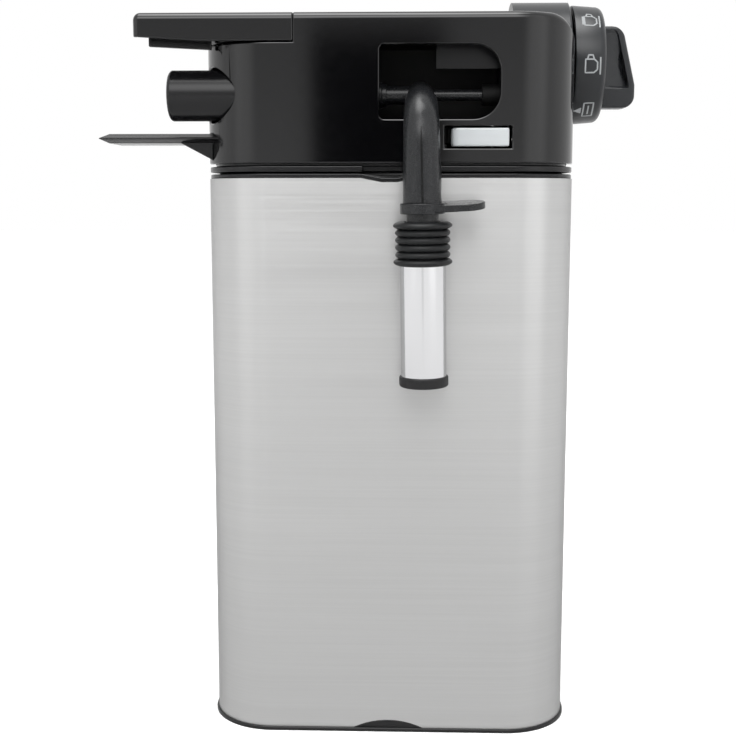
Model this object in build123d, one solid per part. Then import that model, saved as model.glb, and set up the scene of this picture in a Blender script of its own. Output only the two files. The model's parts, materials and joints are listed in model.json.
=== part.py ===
from build123d import *
import math
import os

# Insulated milk carafe with a frothing head, in millimetres.
# Origin: centre of the face that it stands on.  +Z up, -Y is the side with the milk spout,
# -X is the end that docks on a coffee machine, +X is the end with the froth dial.

# ---- container ----
BODY_W = 120.0
BODY_D = 90.0
CORNER_R = 21.0
SHELL_T = 0.8
SHELL_Z0 = 1.3
SHELL_Z1 = 184.1
PAN_LIP = 0.7
PAN_Z1 = 4.0
ARCH_HALF = 11.6
ARCH_TOP = 4.0
CRADLE_Z1 = 14.0
VESSEL_W = 100.0
VESSEL_D = 70.0
VESSEL_R = 12.0
VESSEL_T = 0.7
FIT = 0.1
JACKET_T = 4.0
COLLAR_Z1 = 185.5
COLLAR_SKIRT_Z0 = 176.0
MOUTH_W = VESSEL_W - 2 * VESSEL_T
MOUTH_D = VESSEL_D - 2 * VESSEL_T
DIP_HALF = 9.0
DIP_FLOOR_HALF = 2.5
DIP_DEPTH = 1.3
PAD_R = 6.0
PAD_T = 1.2
PAD_X = 44.0
PAD_Y = 29.0
SCREW_X = 28.0
SCREW_Y = 19.0
SCREW_HEAD_Z0 = 0.4
SCREW_HEAD_Z1 = 1.8
SCREW_HEAD_R = 2.9
SCREW_SHANK_R = 1.4
SCREW_END_Z = 10.0
CROSS_HALF = 1.6
CROSS_WIDE = 0.3
CROSS_DEEP = 0.6
CRADLE_T = 3.0
CRADLE_REACH_X = 56.0
CRADLE_REACH_Y = 42.0
CRADLE_RIB = 2.0
VESSEL_FOOT_R = 6.0
COLLAR_INSET = 0.3
GASKET_T = 1.3
GASKET_Z0 = 179.5
GASKET_Z1 = 181.5

# ---- catches for the head release, cut in the collar ----
CATCH_X0 = 21.0
CATCH_X1 = 36.0
CATCH_BACK_Y = -36.0
CATCH_LIP_Y = -40.9
CATCH_DEEP_Y = -42.4
CATCH_LIP_Z = 182.5
CATCH_FLOOR_Z = 178.0

# ---- head ----
RIM_Z0 = 186.1
RIM_Z1 = 187.9
HEAD_Z0 = 188.8
HEAD_TOP = 235.5
HEAD_T = 2.2
END_R = 10.0
TOP_FILLET = 2.3
RIM_INSET = 0.2
RIM_STEP = 3.2
SPIGOT_Z1 = 192.0
SPIGOT_T = 1.8
PLUG_Z0 = 174.0
PLUG_T = 2.0
PLUG_GAP = 0.8
PLUG_SEAL_Z0 = 178.5
PLUG_SEAL_Z1 = 181.5
PLUG_SEAL_PROUD = 0.5
PLUG_GROOVE = 1.0
NOTCH_HALF = 8.5
HEAD_SCREW_X = 54.0
HEAD_SCREW_Y = 22.0
HEAD_SCREW_R = 1.3
HEAD_SCREW_HEAD_R = 2.5
HEAD_SCREW_Z0 = 185.7
HEAD_SCREW_SEAT_Z = 186.6
HEAD_SCREW_Z1 = 195.0
POST_R = 4.6
POST_Z1 = 200.0

# ---- docking end ----
PLATE_X0 = -80.7
PLATE_X1 = -30.3
PLATE_Z0 = 226.6
PLATE_GAP = 0.4
PLATE_RISE = 1.4
PLATE_TIP_R = 3.0
PLATE_INNER_R = 4.0
APRON_T = 2.0
SHEET_Z0 = 232.8
SHEET_Y1 = -7.0
RAIL_X0 = -77.2
RAIL_X1 = -57.1
RAIL_Y0 = -37.4
RAIL_Y1 = -35.6
RAIL_TIP_Z = 225.8
RAIL_ROOT_Z = 224.7
TONGUE_X0 = -94.6
TONGUE_Y0 = -37.0
TONGUE_Y1 = -13.0
TONGUE_Z0 = 195.5
TONGUE_MID_Z = 197.0
TONGUE_Z1 = 198.5
TONGUE_EDGE = 3.0
TONGUE_ROOT_X = -53.0
GUSSET_X0 = -68.0
GUSSET_X1 = -57.6
GUSSET_Z0 = 190.0
GUSSET_Y0 = -34.0
GUSSET_Y1 = -16.0

# ---- milk path: steam connector, mixing chamber and spout hub share one axis along X ----
MIX_Y = -33.5
MIX_Z = 210.6
PORT_X0 = -71.3
PORT_X1 = -42.0
PORT_R = 8.1
PORT_BORE_R = 5.0
PORT_BORE_X1 = -55.0
PORT_HOLE_R = 8.9
PORT_EDGE = 0.8
PORT_SEAL_T = 2.4
PORT_SEAL_R = 3.8
STEAM_R = 2.2
CHAMBER_R = 7.5
CHAMBER_BORE_R = 4.5
CHAMBER_NECK_R = 2.0
CHAMBER_NECK_X = -14.0
NOZZLE_X1 = -34.0
NOZZLE_R = 3.5
JET_R = 0.9
RISER_X = -30.0
RISER_Y = -22.0
RISER_R = 4.5
RISER_BRANCH_R = 4.0
MILK_R = 1.8
NIPPLE_R = 2.0
NIPPLE_BORE_R = 1.3
NIPPLE_LENGTH = 10.0
TUBE_R = 3.6
TUBE_BORE_R = 2.5
TUBE_Z0 = 22.0
FOOT_WALL = 0.6
FOOT_Z0 = 17.0
FOOT_PLUG = 6.0
FOOT_BORE_R = 1.5
FOOT_SLOT = 1.6
FOOT_SLOT_Z1 = 19.0
AIR_X = -22.0
AIR_R = 1.6
AIR_END_Z = 217.9
AIR_START_X = 20.0

# ---- spout bay (window) ----
WIN_X0 = -3.2
WIN_X1 = 34.8
WIN_Z0 = 202.4
WIN_Z1 = 225.4
WIN_LEFT_R = 1.6
WIN_RIGHT_R = 8.5
BAY_X0 = -6.0
BAY_X1 = 36.6
BAY_BACK_Y = -18.0
BAY_T = 1.4
BAY_END_T = 2.0
BAY_FLOOR_T = 1.6
BAY_ROOF_Z = 226.6
PIN_R = 1.75
PIN_BOSS_R = 3.4
PIN_BOSS_X0 = 29.5
BUSH_R = 5.0
BUSH_STEP_R = 4.2
BUSH_TIP_R = 3.6
BAFFLE_X0 = 14.7
BAFFLE_Y = -36.0
BAFFLE_T = 2.0
BAFFLE_Z0 = 218.5

# ---- spout ----
SPOUT_X = 9.9
SPOUT_Y = -60.5
KNUCKLE_R = 4.3
SPIGOT_R = 2.9
SPIGOT_BORE_R = 1.7
RUN = 0.06
ARM_DROP = math.radians(13.0)
BEND_R = 13.0
LEAN_X = 0.0143
LEAN_Y = 0.035
ELBOW_R = 5.45
ELBOW_FOOT_R = 6.05
ELBOW_BORE = 3.2
FLANGE_Z0 = 173.1
FLANGE_Z1 = 176.3
FLANGE_R = 6.9
TAB_END_X = 29.6
TAB_HALF = 6.0
OUTLET_R = 5.05
OUTLET_BORE = 3.9
OUTLET_Z0 = 126.0
SEAL_Z0 = 128.0
SEAL_Z1 = 130.0
SEAL_GROOVE = 0.6
TAB_T = 2.0
TAB_LIFT = 0.8
TAB_TILT = 7.0
TAB_RISE = 3.0
GLIDE_Z0 = 163.0
GLIDE_Z1 = 168.0
SLEEVE_R = 7.1
SLEEVE_T = 0.6
SLEEVE_Z0 = 122.0
SLEEVE_Z1 = 169.5
GRIP_Z0 = 157.3
GRIP_Z1 = 170.7
GRIP_CORE_R = 7.9
GRIP_RINGS = 6
GRIP_END_R = 9.0
GRIP_RING_R = 8.45
END_Z0 = 119.6
END_Z1 = 123.0
END_RING_R = 7.7

# ---- froth dial ----
DIAL_Z = 223.2
BOSS_X0 = 40.8
BOSS_X1 = 60.2
BOSS_R = 21.0
BOSS_T = 2.0
BOSS_EDGE = 0.8
DIAL_X0 = 61.2
DIAL_X1 = 71.6
DIAL_R = 20.0
DIAL_FRONT_R = 19.2
DIAL_T = 2.4
DIAL_EDGE = 2.4
DIAL_HUB_R = 5.5
PADDLE_HALF = 4.6
PADDLE_X1 = 83.5
PADDLE_FOOT = -14.7
PADDLE_TOP = 12.8
GRIP_SLANT = 14.0
SCOOP_X1 = 80.9
SCOOP_Z0 = 215.5
SCOOP_Z1 = 233.5
SCOOP_FLOOR = 1.4
STEM_R = 3.0
STEM_X0 = 28.0
STEM_SEAL_X0 = 35.0
STEM_SEAL_X1 = 37.0
STEM_GROOVE = 1.0
VALVE_X0 = 20.0
VALVE_R = 8.0
VALVE_BORE_X0 = 25.0
VALVE_INLET_R = 1.2

# ---- head release, one on each long side ----
BUTTON_X0 = 19.5
BUTTON_X1 = 37.7
BUTTON_Z0 = 194.0
BUTTON_Z1 = 199.7
SLOT_X0 = 17.3
SLOT_X1 = 38.5
SLOT_Z0 = 193.3
SLOT_Z1 = 200.3
PIVOT_X = 16.5
PIVOT_Y = -39.5
PIVOT_R = 1.0
CATCH_GAP = 0.5
NOSE_X0 = 25.0
NOSE_X1 = 33.0
NOSE_Z0 = 179.5
KNUCKLE_WALL = 1.3
KNUCKLE_Z0 = 195.2


def block(x0, x1, y0, y1, z0, z1):
    """Box between two corners."""
    return Pos((x0 + x1) / 2, (y0 + y1) / 2, (z0 + z1) / 2) * Box(x1 - x0, y1 - y0, z1 - z0)


def slab(width, depth, radius, z0, z1):
    """Rounded-rectangle prism on the Z axis."""
    return Pos(0, 0, z0) * extrude(RectangleRounded(width, depth, radius), z1 - z0)


def frame_ring(width, depth, radius, wall, z0, z1):
    """Rounded-rectangle tube with the given outer size."""
    hole = slab(width - 2 * wall, depth - 2 * wall, radius - wall, z0 - 1, z1 + 1)
    return slab(width, depth, radius, z0, z1) - hole


def rod_z(x, y, z0, z1, radius):
    return Pos(x, y, (z0 + z1) / 2) * Cylinder(radius, z1 - z0)


def rod_x(x0, x1, radius, y, z):
    return Pos((x0 + x1) / 2, y, z) * Rot(0, 90, 0) * Cylinder(radius, x1 - x0)


def rod_y(y0, y1, radius, x, z):
    return Pos(x, (y0 + y1) / 2, z) * Rot(90, 0, 0) * Cylinder(radius, y1 - y0)


def cone_x(x0, x1, r0, r1, y, z):
    return Pos((x0 + x1) / 2, y, z) * Rot(0, 90, 0) * Cone(r0, r1, x1 - x0)


def prism_y(points, y0, y1):
    """Polygon of (x, z) points carried along Y."""
    outline = Plane.XZ * make_face(Polyline(*points, close=True))
    return Pos(0, y1, 0) * extrude(outline, y1 - y0)


def both_sides(part):
    """The part with its mirror image on the other long side."""
    return part + mirror(part, Plane.XZ)


def at_corners(part_at, x, y):
    """Four copies of a small piece at (+-x, +-y)."""
    pieces = [part_at(sx * x, sy * y) for sx in (-1, 1) for sy in (-1, 1)]
    return Compound(children=pieces)


# ---- container ----
def dip(z):
    """Shallow finger dip below height z at the middle of both long sides."""
    floor = z - DIP_DEPTH
    points = [(-DIP_HALF, z), (-DIP_FLOOR_HALF, floor), (DIP_FLOOR_HALF, floor), (DIP_HALF, z)]
    return both_sides(prism_y(points, -BODY_D / 2 - 1, -BODY_D / 2 + 3))


def arch():
    """Low arch in the lower edge of both long sides."""
    rise = ARCH_TOP - SHELL_Z0
    radius = (ARCH_HALF ** 2 + rise ** 2) / (2 * rise)
    dome = rod_y(-BODY_D / 2 - 1, -BODY_D / 2 + 3, radius, 0, ARCH_TOP - radius)
    band = block(-ARCH_HALF, ARCH_HALF, -BODY_D, 0, SHELL_Z0 - 1, ARCH_TOP + 1)
    return both_sides(dome & band)


def outer_shell():
    shell = frame_ring(BODY_W, BODY_D, CORNER_R, SHELL_T, SHELL_Z0, SHELL_Z1)
    return shell - dip(SHELL_Z1) - arch()


def base_pan():
    lip = slab(BODY_W + 2 * PAN_LIP, BODY_D + 2 * PAN_LIP, CORNER_R + PAN_LIP, 0, SHELL_Z0)
    inset = SHELL_T + FIT
    core = slab(BODY_W - 2 * inset, BODY_D - 2 * inset, CORNER_R - inset, SHELL_Z0, PAN_Z1)
    tabs = arch() & slab(BODY_W, BODY_D, CORNER_R, SHELL_Z0, ARCH_TOP)
    pan = lip + core + tabs
    pan -= at_corners(lambda x, y: rod_z(x, y, -1, PAD_T, PAD_R), PAD_X, PAD_Y)
    pan -= at_corners(lambda x, y: rod_z(x, y, -1, SCREW_HEAD_Z1, SCREW_HEAD_R + FIT), SCREW_X, SCREW_Y)
    return pan - screw_holes(-1, PAN_Z1 + 1)


def screw_holes(z0, z1):
    return at_corners(lambda x, y: rod_z(x, y, z0, z1, SCREW_SHANK_R + FIT), SCREW_X, SCREW_Y)


def foot_pads():
    return at_corners(lambda x, y: rod_z(x, y, 0, PAD_T, PAD_R), PAD_X, PAD_Y)


def base_screw(x, y):
    screw = rod_z(x, y, SCREW_HEAD_Z0, SCREW_HEAD_Z1, SCREW_HEAD_R)
    screw += rod_z(x, y, SCREW_HEAD_Z1, SCREW_END_Z, SCREW_SHANK_R)
    floor = SCREW_HEAD_Z0 + CROSS_DEEP
    screw -= block(x - CROSS_HALF, x + CROSS_HALF, y - CROSS_WIDE, y + CROSS_WIDE, 0, floor)
    return screw - block(x - CROSS_WIDE, x + CROSS_WIDE, y - CROSS_HALF, y + CROSS_HALF, 0, floor)


def base_screws():
    return at_corners(base_screw, SCREW_X, SCREW_Y)


def vessel_cradle():
    """Plastic frame under the inner vessel that takes the base screws."""
    inset = SHELL_T + FIT
    outer = (BODY_W - 2 * inset, BODY_D - 2 * inset, CORNER_R - inset, CRADLE_T)
    frame = frame_ring(*outer, PAN_Z1, CRADLE_Z1)
    frame += block(-CRADLE_REACH_X, CRADLE_REACH_X, -CRADLE_RIB, CRADLE_RIB, PAN_Z1, CRADLE_Z1)
    frame += block(-CRADLE_RIB, CRADLE_RIB, -CRADLE_REACH_Y, CRADLE_REACH_Y, PAN_Z1, CRADLE_Z1)
    for side in (-1, 1):
        low = side * SCREW_Y - 2 * CRADLE_RIB
        frame += block(-CRADLE_REACH_X, CRADLE_REACH_X, low, low + 4 * CRADLE_RIB, PAN_Z1, CRADLE_Z1)
    return frame - screw_holes(PAN_Z1 - 1, SCREW_END_Z + 1)


def inner_vessel():
    outer = slab(VESSEL_W, VESSEL_D, VESSEL_R, CRADLE_Z1, SHELL_Z1)
    outer = fillet(outer.faces().sort_by(Axis.Z)[0].edges(), VESSEL_FOOT_R)
    inner = slab(MOUTH_W, MOUTH_D, VESSEL_R - VESSEL_T, CRADLE_Z1 + VESSEL_T, SHELL_Z1 + 1)
    inner = fillet(inner.faces().sort_by(Axis.Z)[0].edges(), VESSEL_FOOT_R - VESSEL_T)
    return outer - inner


def insulation_jacket():
    """Felt wrapped round the inner vessel; the rest of the double wall is air."""
    inner_w = VESSEL_W + FIT
    inner_d = VESSEL_D + FIT
    grow = 2 * JACKET_T
    outer = (inner_w + grow, inner_d + grow, VESSEL_R + JACKET_T, JACKET_T)
    return frame_ring(*outer, CRADLE_Z1, COLLAR_SKIRT_Z0)


def collar():
    width = BODY_W - 2 * COLLAR_INSET
    depth = BODY_D - 2 * COLLAR_INSET
    radius = CORNER_R - COLLAR_INSET
    ring = slab(width, depth, radius, SHELL_Z1, COLLAR_Z1) - dip(COLLAR_Z1)
    ring += dip(SHELL_Z1) & slab(width, depth, radius, SHELL_Z1 - DIP_DEPTH, SHELL_Z1)
    wall = SHELL_T + FIT
    skirt_size = (BODY_W - 2 * wall, BODY_D - 2 * wall, CORNER_R - wall)
    ring += slab(*skirt_size, COLLAR_SKIRT_Z0, SHELL_Z1)
    ring -= slab(MOUTH_W, MOUTH_D, VESSEL_R - VESSEL_T, COLLAR_SKIRT_Z0 - 1, COLLAR_Z1 + 1)
    ring -= slab(VESSEL_W + FIT, VESSEL_D + FIT, VESSEL_R, COLLAR_SKIRT_Z0 - 1, SHELL_Z1)
    grow = 2 * GASKET_T
    ring -= slab(VESSEL_W + grow, VESSEL_D + grow, VESSEL_R + GASKET_T, GASKET_Z0, GASKET_Z1)
    pocket = block(CATCH_X0, CATCH_X1, CATCH_LIP_Y, CATCH_BACK_Y, CATCH_FLOOR_Z, COLLAR_Z1 + 1)
    pocket += block(CATCH_X0, CATCH_X1, CATCH_DEEP_Y, CATCH_BACK_Y, CATCH_FLOOR_Z, CATCH_LIP_Z)
    return ring - both_sides(pocket)


def collar_gasket():
    grow = 2 * GASKET_T
    outer = (VESSEL_W + grow, VESSEL_D + grow, VESSEL_R + GASKET_T, GASKET_T - FIT / 2)
    return frame_ring(*outer, GASKET_Z0, GASKET_Z1)


# ---- head ----
def plug_size(grow):
    """Width, depth and corner radius of the plug, grown all round."""
    inset = PLUG_GAP - grow
    return MOUTH_W - 2 * inset, MOUTH_D - 2 * inset, VESSEL_R - VESSEL_T - inset


def head_screw_holes(radius, z1):
    low = HEAD_SCREW_Z0 - 1
    return at_corners(lambda x, y: rod_z(x, y, low, z1, radius), HEAD_SCREW_X, HEAD_SCREW_Y)


def head_chassis():
    rim = slab(BODY_W - 2 * RIM_INSET, BODY_D - 2 * RIM_INSET, CORNER_R - RIM_INSET, RIM_Z0, RIM_Z1)
    notch = block(-NOTCH_HALF, NOTCH_HALF, -BODY_D / 2 - 1, -BODY_D / 2 + 3, RIM_Z0 - 1, RIM_Z1 + 1)
    rim -= both_sides(notch)
    rim += slab(BODY_W - 2 * RIM_STEP, BODY_D - 2 * RIM_STEP, CORNER_R - RIM_STEP, COLLAR_Z1, RIM_Z0)
    inset = HEAD_T + FIT
    outer = (BODY_W - 2 * inset, BODY_D - 2 * inset, CORNER_R - inset, SPIGOT_T)
    rim += frame_ring(*outer, RIM_Z1, SPIGOT_Z1)
    rim += slab(*plug_size(0), PLUG_Z0, COLLAR_Z1)
    rim -= slab(*plug_size(-PLUG_T), PLUG_Z0 + PLUG_T, RIM_Z1 + 1)
    rim -= frame_ring(*plug_size(PLUG_GROOVE), 2 * PLUG_GROOVE, PLUG_SEAL_Z0, PLUG_SEAL_Z1)
    slot_y = (CATCH_LIP_Y + CATCH_GAP, CATCH_BACK_Y + CATCH_GAP)
    rim -= both_sides(block(CATCH_X0, CATCH_X1, *slot_y, COLLAR_Z1 - 1, RIM_Z1 + 1))
    rim -= rod_z(RISER_X, RISER_Y, PLUG_Z0 - 1, PLUG_Z0 + PLUG_T + 1, NIPPLE_R)
    rim -= head_screw_holes(HEAD_SCREW_R + FIT, RIM_Z1 + 1)
    return rim - head_screw_holes(HEAD_SCREW_HEAD_R + FIT, HEAD_SCREW_SEAT_Z)


def plug_seal():
    outer = plug_size(PLUG_SEAL_PROUD)
    return frame_ring(*outer, PLUG_GROOVE + PLUG_SEAL_PROUD, PLUG_SEAL_Z0, PLUG_SEAL_Z1)


def chassis_screw(x, y):
    head = rod_z(x, y, HEAD_SCREW_Z0, HEAD_SCREW_SEAT_Z, HEAD_SCREW_HEAD_R)
    return head + rod_z(x, y, HEAD_SCREW_SEAT_Z, HEAD_SCREW_Z1, HEAD_SCREW_R)


def chassis_screws():
    return at_corners(chassis_screw, HEAD_SCREW_X, HEAD_SCREW_Y)


def head_form(inset, z0):
    """Head housing as a solid, inset mm inside its outer face."""
    top = HEAD_TOP - inset
    form = slab(BODY_W - 2 * inset, BODY_D - 2 * inset, CORNER_R - inset, z0, top)
    side = block(-BODY_W, BODY_W / 2 - inset, -BODY_D, BODY_D, z0, top)
    corner = side.edges().filter_by(Axis.Y).group_by(Axis.X)[-1].sort_by(Axis.Z)[-1]
    form &= fillet(corner, END_R - inset)
    step = block(-BODY_W, PLATE_X1 + inset, -BODY_D, BODY_D, PLATE_Z0 - PLATE_GAP - inset, HEAD_TOP + 1)
    form -= step
    if inset:
        return form
    top_edges = form.faces().sort_by(Axis.Z)[-1].edges()
    rim = [edge for edge in top_edges if abs(edge.center().Y) > BODY_D / 2 - CORNER_R]
    return form if not rim else fillet(rim, TOP_FILLET)


def window_cut():
    """Opening in the front wall: tight corners towards the dock, wide ones towards the dial."""
    cut = block(WIN_X0, WIN_X1, -BODY_D / 2 - 1, -BODY_D / 2 + HEAD_T + 1, WIN_Z0, WIN_Z1)
    edges = cut.edges().filter_by(Axis.Y).group_by(Axis.X)
    cut = fillet(edges[-1], WIN_RIGHT_R)
    left = cut.edges().filter_by(Axis.Y).group_by(Axis.X)[0]
    return fillet(left, WIN_LEFT_R)


def head_cover():
    cover = head_form(0, HEAD_Z0)
    cover -= head_form(HEAD_T, HEAD_Z0 - 1)
    room = (BODY_W - 2 * HEAD_T, BODY_D - 2 * HEAD_T, CORNER_R - HEAD_T)
    posts = at_corners(lambda x, y: rod_z(x, y, RIM_Z1, POST_Z1, POST_R), HEAD_SCREW_X, HEAD_SCREW_Y)
    cover += posts & slab(room[0] + 2 * FIT, room[1], room[2], RIM_Z1, POST_Z1)
    cover -= head_screw_holes(HEAD_SCREW_R + FIT, HEAD_SCREW_Z1 + 1)
    cover -= frame_ring(*room, SPIGOT_T + 3 * FIT, RIM_Z1, SPIGOT_Z1 + FIT)
    cover -= window_cut()
    slot = block(SLOT_X0, SLOT_X1, -BODY_D / 2 - 1, -BODY_D / 2 + HEAD_T + 1, SLOT_Z0, SLOT_Z1)
    cover -= both_sides(slot)
    cover -= rod_x(-BODY_W, PORT_X1 + 4, PORT_HOLE_R, MIX_Y, MIX_Z)
    cover -= rod_x(BOSS_X0, BODY_W, BOSS_R + FIT / 2, 0, DIAL_Z)
    return cover - tongue_bar()


def docking_plate():
    """Top of the docking end: it covers the housing and runs on as a sheet with an apron at the front."""
    front = -BODY_D / 2
    plate = slab(BODY_W, BODY_D, CORNER_R, PLATE_Z0, HEAD_TOP)
    plate &= block(-BODY_W, PLATE_X1, -BODY_D, BODY_D, PLATE_Z0, HEAD_TOP)
    corner_x = -BODY_W / 2 + CORNER_R
    sheet = block(PLATE_X0, corner_x, front, SHEET_Y1, SHEET_Z0, HEAD_TOP)
    points = [(PLATE_X0, PLATE_Z0 + PLATE_RISE), (-BODY_W / 2, PLATE_Z0), (corner_x, PLATE_Z0)]
    points += [(corner_x, HEAD_TOP), (PLATE_X0, HEAD_TOP)]
    sheet += prism_y(points, front, front + APRON_T)
    tip = sheet.edges().filter_by(Axis.Z).group_by(Axis.X)[0]
    sheet = fillet(tip.sort_by(Axis.Y)[-1], PLATE_TIP_R)
    tip = sheet.edges().filter_by(Axis.Z).group_by(Axis.X)[0]
    sheet = fillet(tip.sort_by(Axis.Y)[0], APRON_T - FIT)
    plate += sheet
    inner = plate.edges().filter_by(Axis.Z).filter_by_position(Axis.Y, SHEET_Y1 - FIT, SHEET_Y1 + FIT)
    plate = fillet(inner.sort_by(Axis.X)[-1], PLATE_INNER_R)
    top_edges = plate.faces().sort_by(Axis.Z)[-1].edges()
    return fillet([edge for edge in top_edges if edge.center().X < PLATE_X1 - FIT], TOP_FILLET)


def docking_rail():
    """Guide rib that hangs from the sheet a little behind the apron."""
    points = [(RAIL_X0, RAIL_TIP_Z), (RAIL_X1, RAIL_ROOT_Z), (RAIL_X1, SHEET_Z0), (RAIL_X0, SHEET_Z0)]
    return prism_y(points, RAIL_Y0, RAIL_Y1)


def tongue_bar():
    """Flat bar with bevelled edges and tip, through the housing wall."""
    low_tip = TONGUE_X0 + TONGUE_EDGE
    long_edge = [(TONGUE_X0, TONGUE_MID_Z), (low_tip, TONGUE_Z0), (TONGUE_ROOT_X, TONGUE_Z0)]
    long_edge += [(TONGUE_ROOT_X, TONGUE_Z1), (low_tip, TONGUE_Z1)]
    bar = prism_y(long_edge, TONGUE_Y0, TONGUE_Y1)
    near = TONGUE_Y0 + TONGUE_EDGE
    far = TONGUE_Y1 - TONGUE_EDGE
    cross = [(TONGUE_Y0, TONGUE_MID_Z), (near, TONGUE_Z0), (far, TONGUE_Z0)]
    cross += [(TONGUE_Y1, TONGUE_MID_Z), (far, TONGUE_Z1), (near, TONGUE_Z1)]
    section = Polyline(*cross, close=True)
    length = TONGUE_ROOT_X - TONGUE_X0
    return bar & Pos(TONGUE_X0 - 1, 0, 0) * extrude(Plane.YZ * make_face(section), length + 2)


def docking_tongue():
    points = [(GUSSET_X0, TONGUE_Z0), (TONGUE_ROOT_X, TONGUE_Z0)]
    points += [(TONGUE_ROOT_X, GUSSET_Z0), (GUSSET_X1, GUSSET_Z0)]
    gusset = prism_y(points, GUSSET_Y0, GUSSET_Y1) - slab(BODY_W, BODY_D, CORNER_R, GUSSET_Z0 - 1, TONGUE_Z1)
    return tongue_bar() + gusset


def steam_connector():
    port = rod_x(PORT_X0, PORT_X1, PORT_R, MIX_Y, MIX_Z)
    port = chamfer(port.edges().group_by(Axis.X)[0], PORT_EDGE)
    port -= rod_x(PORT_X0 - 1, PORT_BORE_X1, PORT_BORE_R, MIX_Y, MIX_Z)
    port -= rod_x(PORT_BORE_X1 - 1, PORT_BORE_X1 + PORT_SEAL_T, PORT_SEAL_R, MIX_Y, MIX_Z)
    return port - rod_x(PORT_BORE_X1, PORT_X1 + 1, STEAM_R, MIX_Y, MIX_Z)


def connector_seal():
    ring = rod_x(PORT_BORE_X1, PORT_BORE_X1 + PORT_SEAL_T, PORT_SEAL_R, MIX_Y, MIX_Z)
    return ring - rod_x(PORT_BORE_X1 - 1, PORT_BORE_X1 + PORT_SEAL_T + 1, STEAM_R, MIX_Y, MIX_Z)


def mixing_chamber():
    body = rod_x(PORT_X1, BAY_X0, CHAMBER_R, MIX_Y, MIX_Z)
    body -= rod_x(PORT_X1 - 1, NOZZLE_X1, NOZZLE_R, MIX_Y, MIX_Z)
    body -= rod_x(NOZZLE_X1, CHAMBER_NECK_X, CHAMBER_BORE_R, MIX_Y, MIX_Z)
    body -= rod_x(CHAMBER_NECK_X - 1, BAY_X0 + 1, CHAMBER_NECK_R, MIX_Y, MIX_Z)
    branch = rod_y(MIX_Y, RISER_Y, RISER_BRANCH_R, RISER_X, MIX_Z)
    body += branch - rod_x(PORT_X1, BAY_X0, CHAMBER_R - 1, MIX_Y, MIX_Z)
    body -= rod_y(MIX_Y, RISER_Y + 1, MILK_R, RISER_X, MIX_Z)
    return body - rod_z(AIR_X, MIX_Y, MIX_Z, MIX_Z + CHAMBER_R + 1, AIR_R)


def venturi_nozzle():
    body = cone_x(PORT_X1, NOZZLE_X1, NOZZLE_R, NIPPLE_R, MIX_Y, MIX_Z)
    return body - rod_x(PORT_X1 - 1, NOZZLE_X1 + 1, JET_R, MIX_Y, MIX_Z)


def milk_riser():
    riser = rod_z(RISER_X, RISER_Y, PLUG_Z0 + PLUG_T, MIX_Z + RISER_BRANCH_R, RISER_R)
    riser -= rod_y(MIX_Y, RISER_Y, RISER_BRANCH_R + FIT / 5, RISER_X, MIX_Z)
    riser -= rod_x(PORT_X1, BAY_X0, CHAMBER_R, MIX_Y, MIX_Z)
    riser -= rod_z(RISER_X, RISER_Y, PLUG_Z0, MIX_Z + MILK_R, MILK_R)
    return riser - rod_y(MIX_Y, RISER_Y, MILK_R, RISER_X, MIX_Z)


def hose_nipple():
    nipple = rod_z(RISER_X, RISER_Y, PLUG_Z0 - NIPPLE_LENGTH, PLUG_Z0, TUBE_BORE_R)
    nipple += rod_z(RISER_X, RISER_Y, PLUG_Z0, PLUG_Z0 + PLUG_T, NIPPLE_R)
    return nipple - rod_z(RISER_X, RISER_Y, PLUG_Z0 - NIPPLE_LENGTH - 1, PLUG_Z0 + PLUG_T + 1, NIPPLE_BORE_R)


def dip_tube():
    tube = rod_z(RISER_X, RISER_Y, TUBE_Z0, PLUG_Z0 - FIT, TUBE_R)
    return tube - rod_z(RISER_X, RISER_Y, TUBE_Z0 - 1, PLUG_Z0, TUBE_BORE_R)


def dip_tube_foot():
    reach = TUBE_R + 2
    foot = rod_z(RISER_X, RISER_Y, FOOT_Z0, TUBE_Z0, TUBE_R + FOOT_WALL)
    foot += rod_z(RISER_X, RISER_Y, TUBE_Z0, TUBE_Z0 + FOOT_PLUG, TUBE_BORE_R)
    foot -= rod_z(RISER_X, RISER_Y, FOOT_Z0 - 1, TUBE_Z0 + FOOT_PLUG + 1, FOOT_BORE_R)
    half = FOOT_SLOT / 2
    slot_y = (RISER_Y - half, RISER_Y + half)
    return foot - block(RISER_X - reach, RISER_X + reach, *slot_y, FOOT_Z0 - 1, FOOT_SLOT_Z1)


def spout_bay():
    wall = -BODY_D / 2 + HEAD_T
    bay = block(BAY_X0, BAY_X1, wall, BAY_BACK_Y, WIN_Z0 - BAY_FLOOR_T, BAY_ROOF_Z + BAY_T)
    room = block(BAY_X0 + BAY_END_T, BAY_X1 - BAY_T, wall - 1, BAY_BACK_Y - BAY_T, WIN_Z0, BAY_ROOF_Z)
    bay -= room
    bay += rod_x(PIN_BOSS_X0, BAY_X1 - BAY_T, PIN_BOSS_R, MIX_Y, MIX_Z)
    bay -= rod_x(PIN_BOSS_X0 - 1, BAY_X1 - BAY_T / 2, PIN_R, MIX_Y, MIX_Z)
    return bay - rod_x(BAY_X0 - 1, BAY_X0 + BAY_END_T + 1, BUSH_R, MIX_Y, MIX_Z)


def bay_baffle():
    """Panel across the upper right of the bay."""
    half = BAFFLE_T / 2
    return block(BAFFLE_X0, BAY_X1 - BAY_T, BAFFLE_Y - half, BAFFLE_Y + half, BAFFLE_Z0, BAY_ROOF_Z)


def spout_bush():
    inner = BAY_X0 + BAY_END_T
    bush = rod_x(BAY_X0, inner, BUSH_R, MIX_Y, MIX_Z)
    bush += rod_x(inner, inner + 1.4, BUSH_STEP_R, MIX_Y, MIX_Z)
    bush += rod_x(inner + 1.4, inner + 2.9, BUSH_TIP_R, MIX_Y, MIX_Z)
    return bush - rod_x(BAY_X0 - 1, inner + 4, SPIGOT_R + RUN, MIX_Y, MIX_Z)


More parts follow.
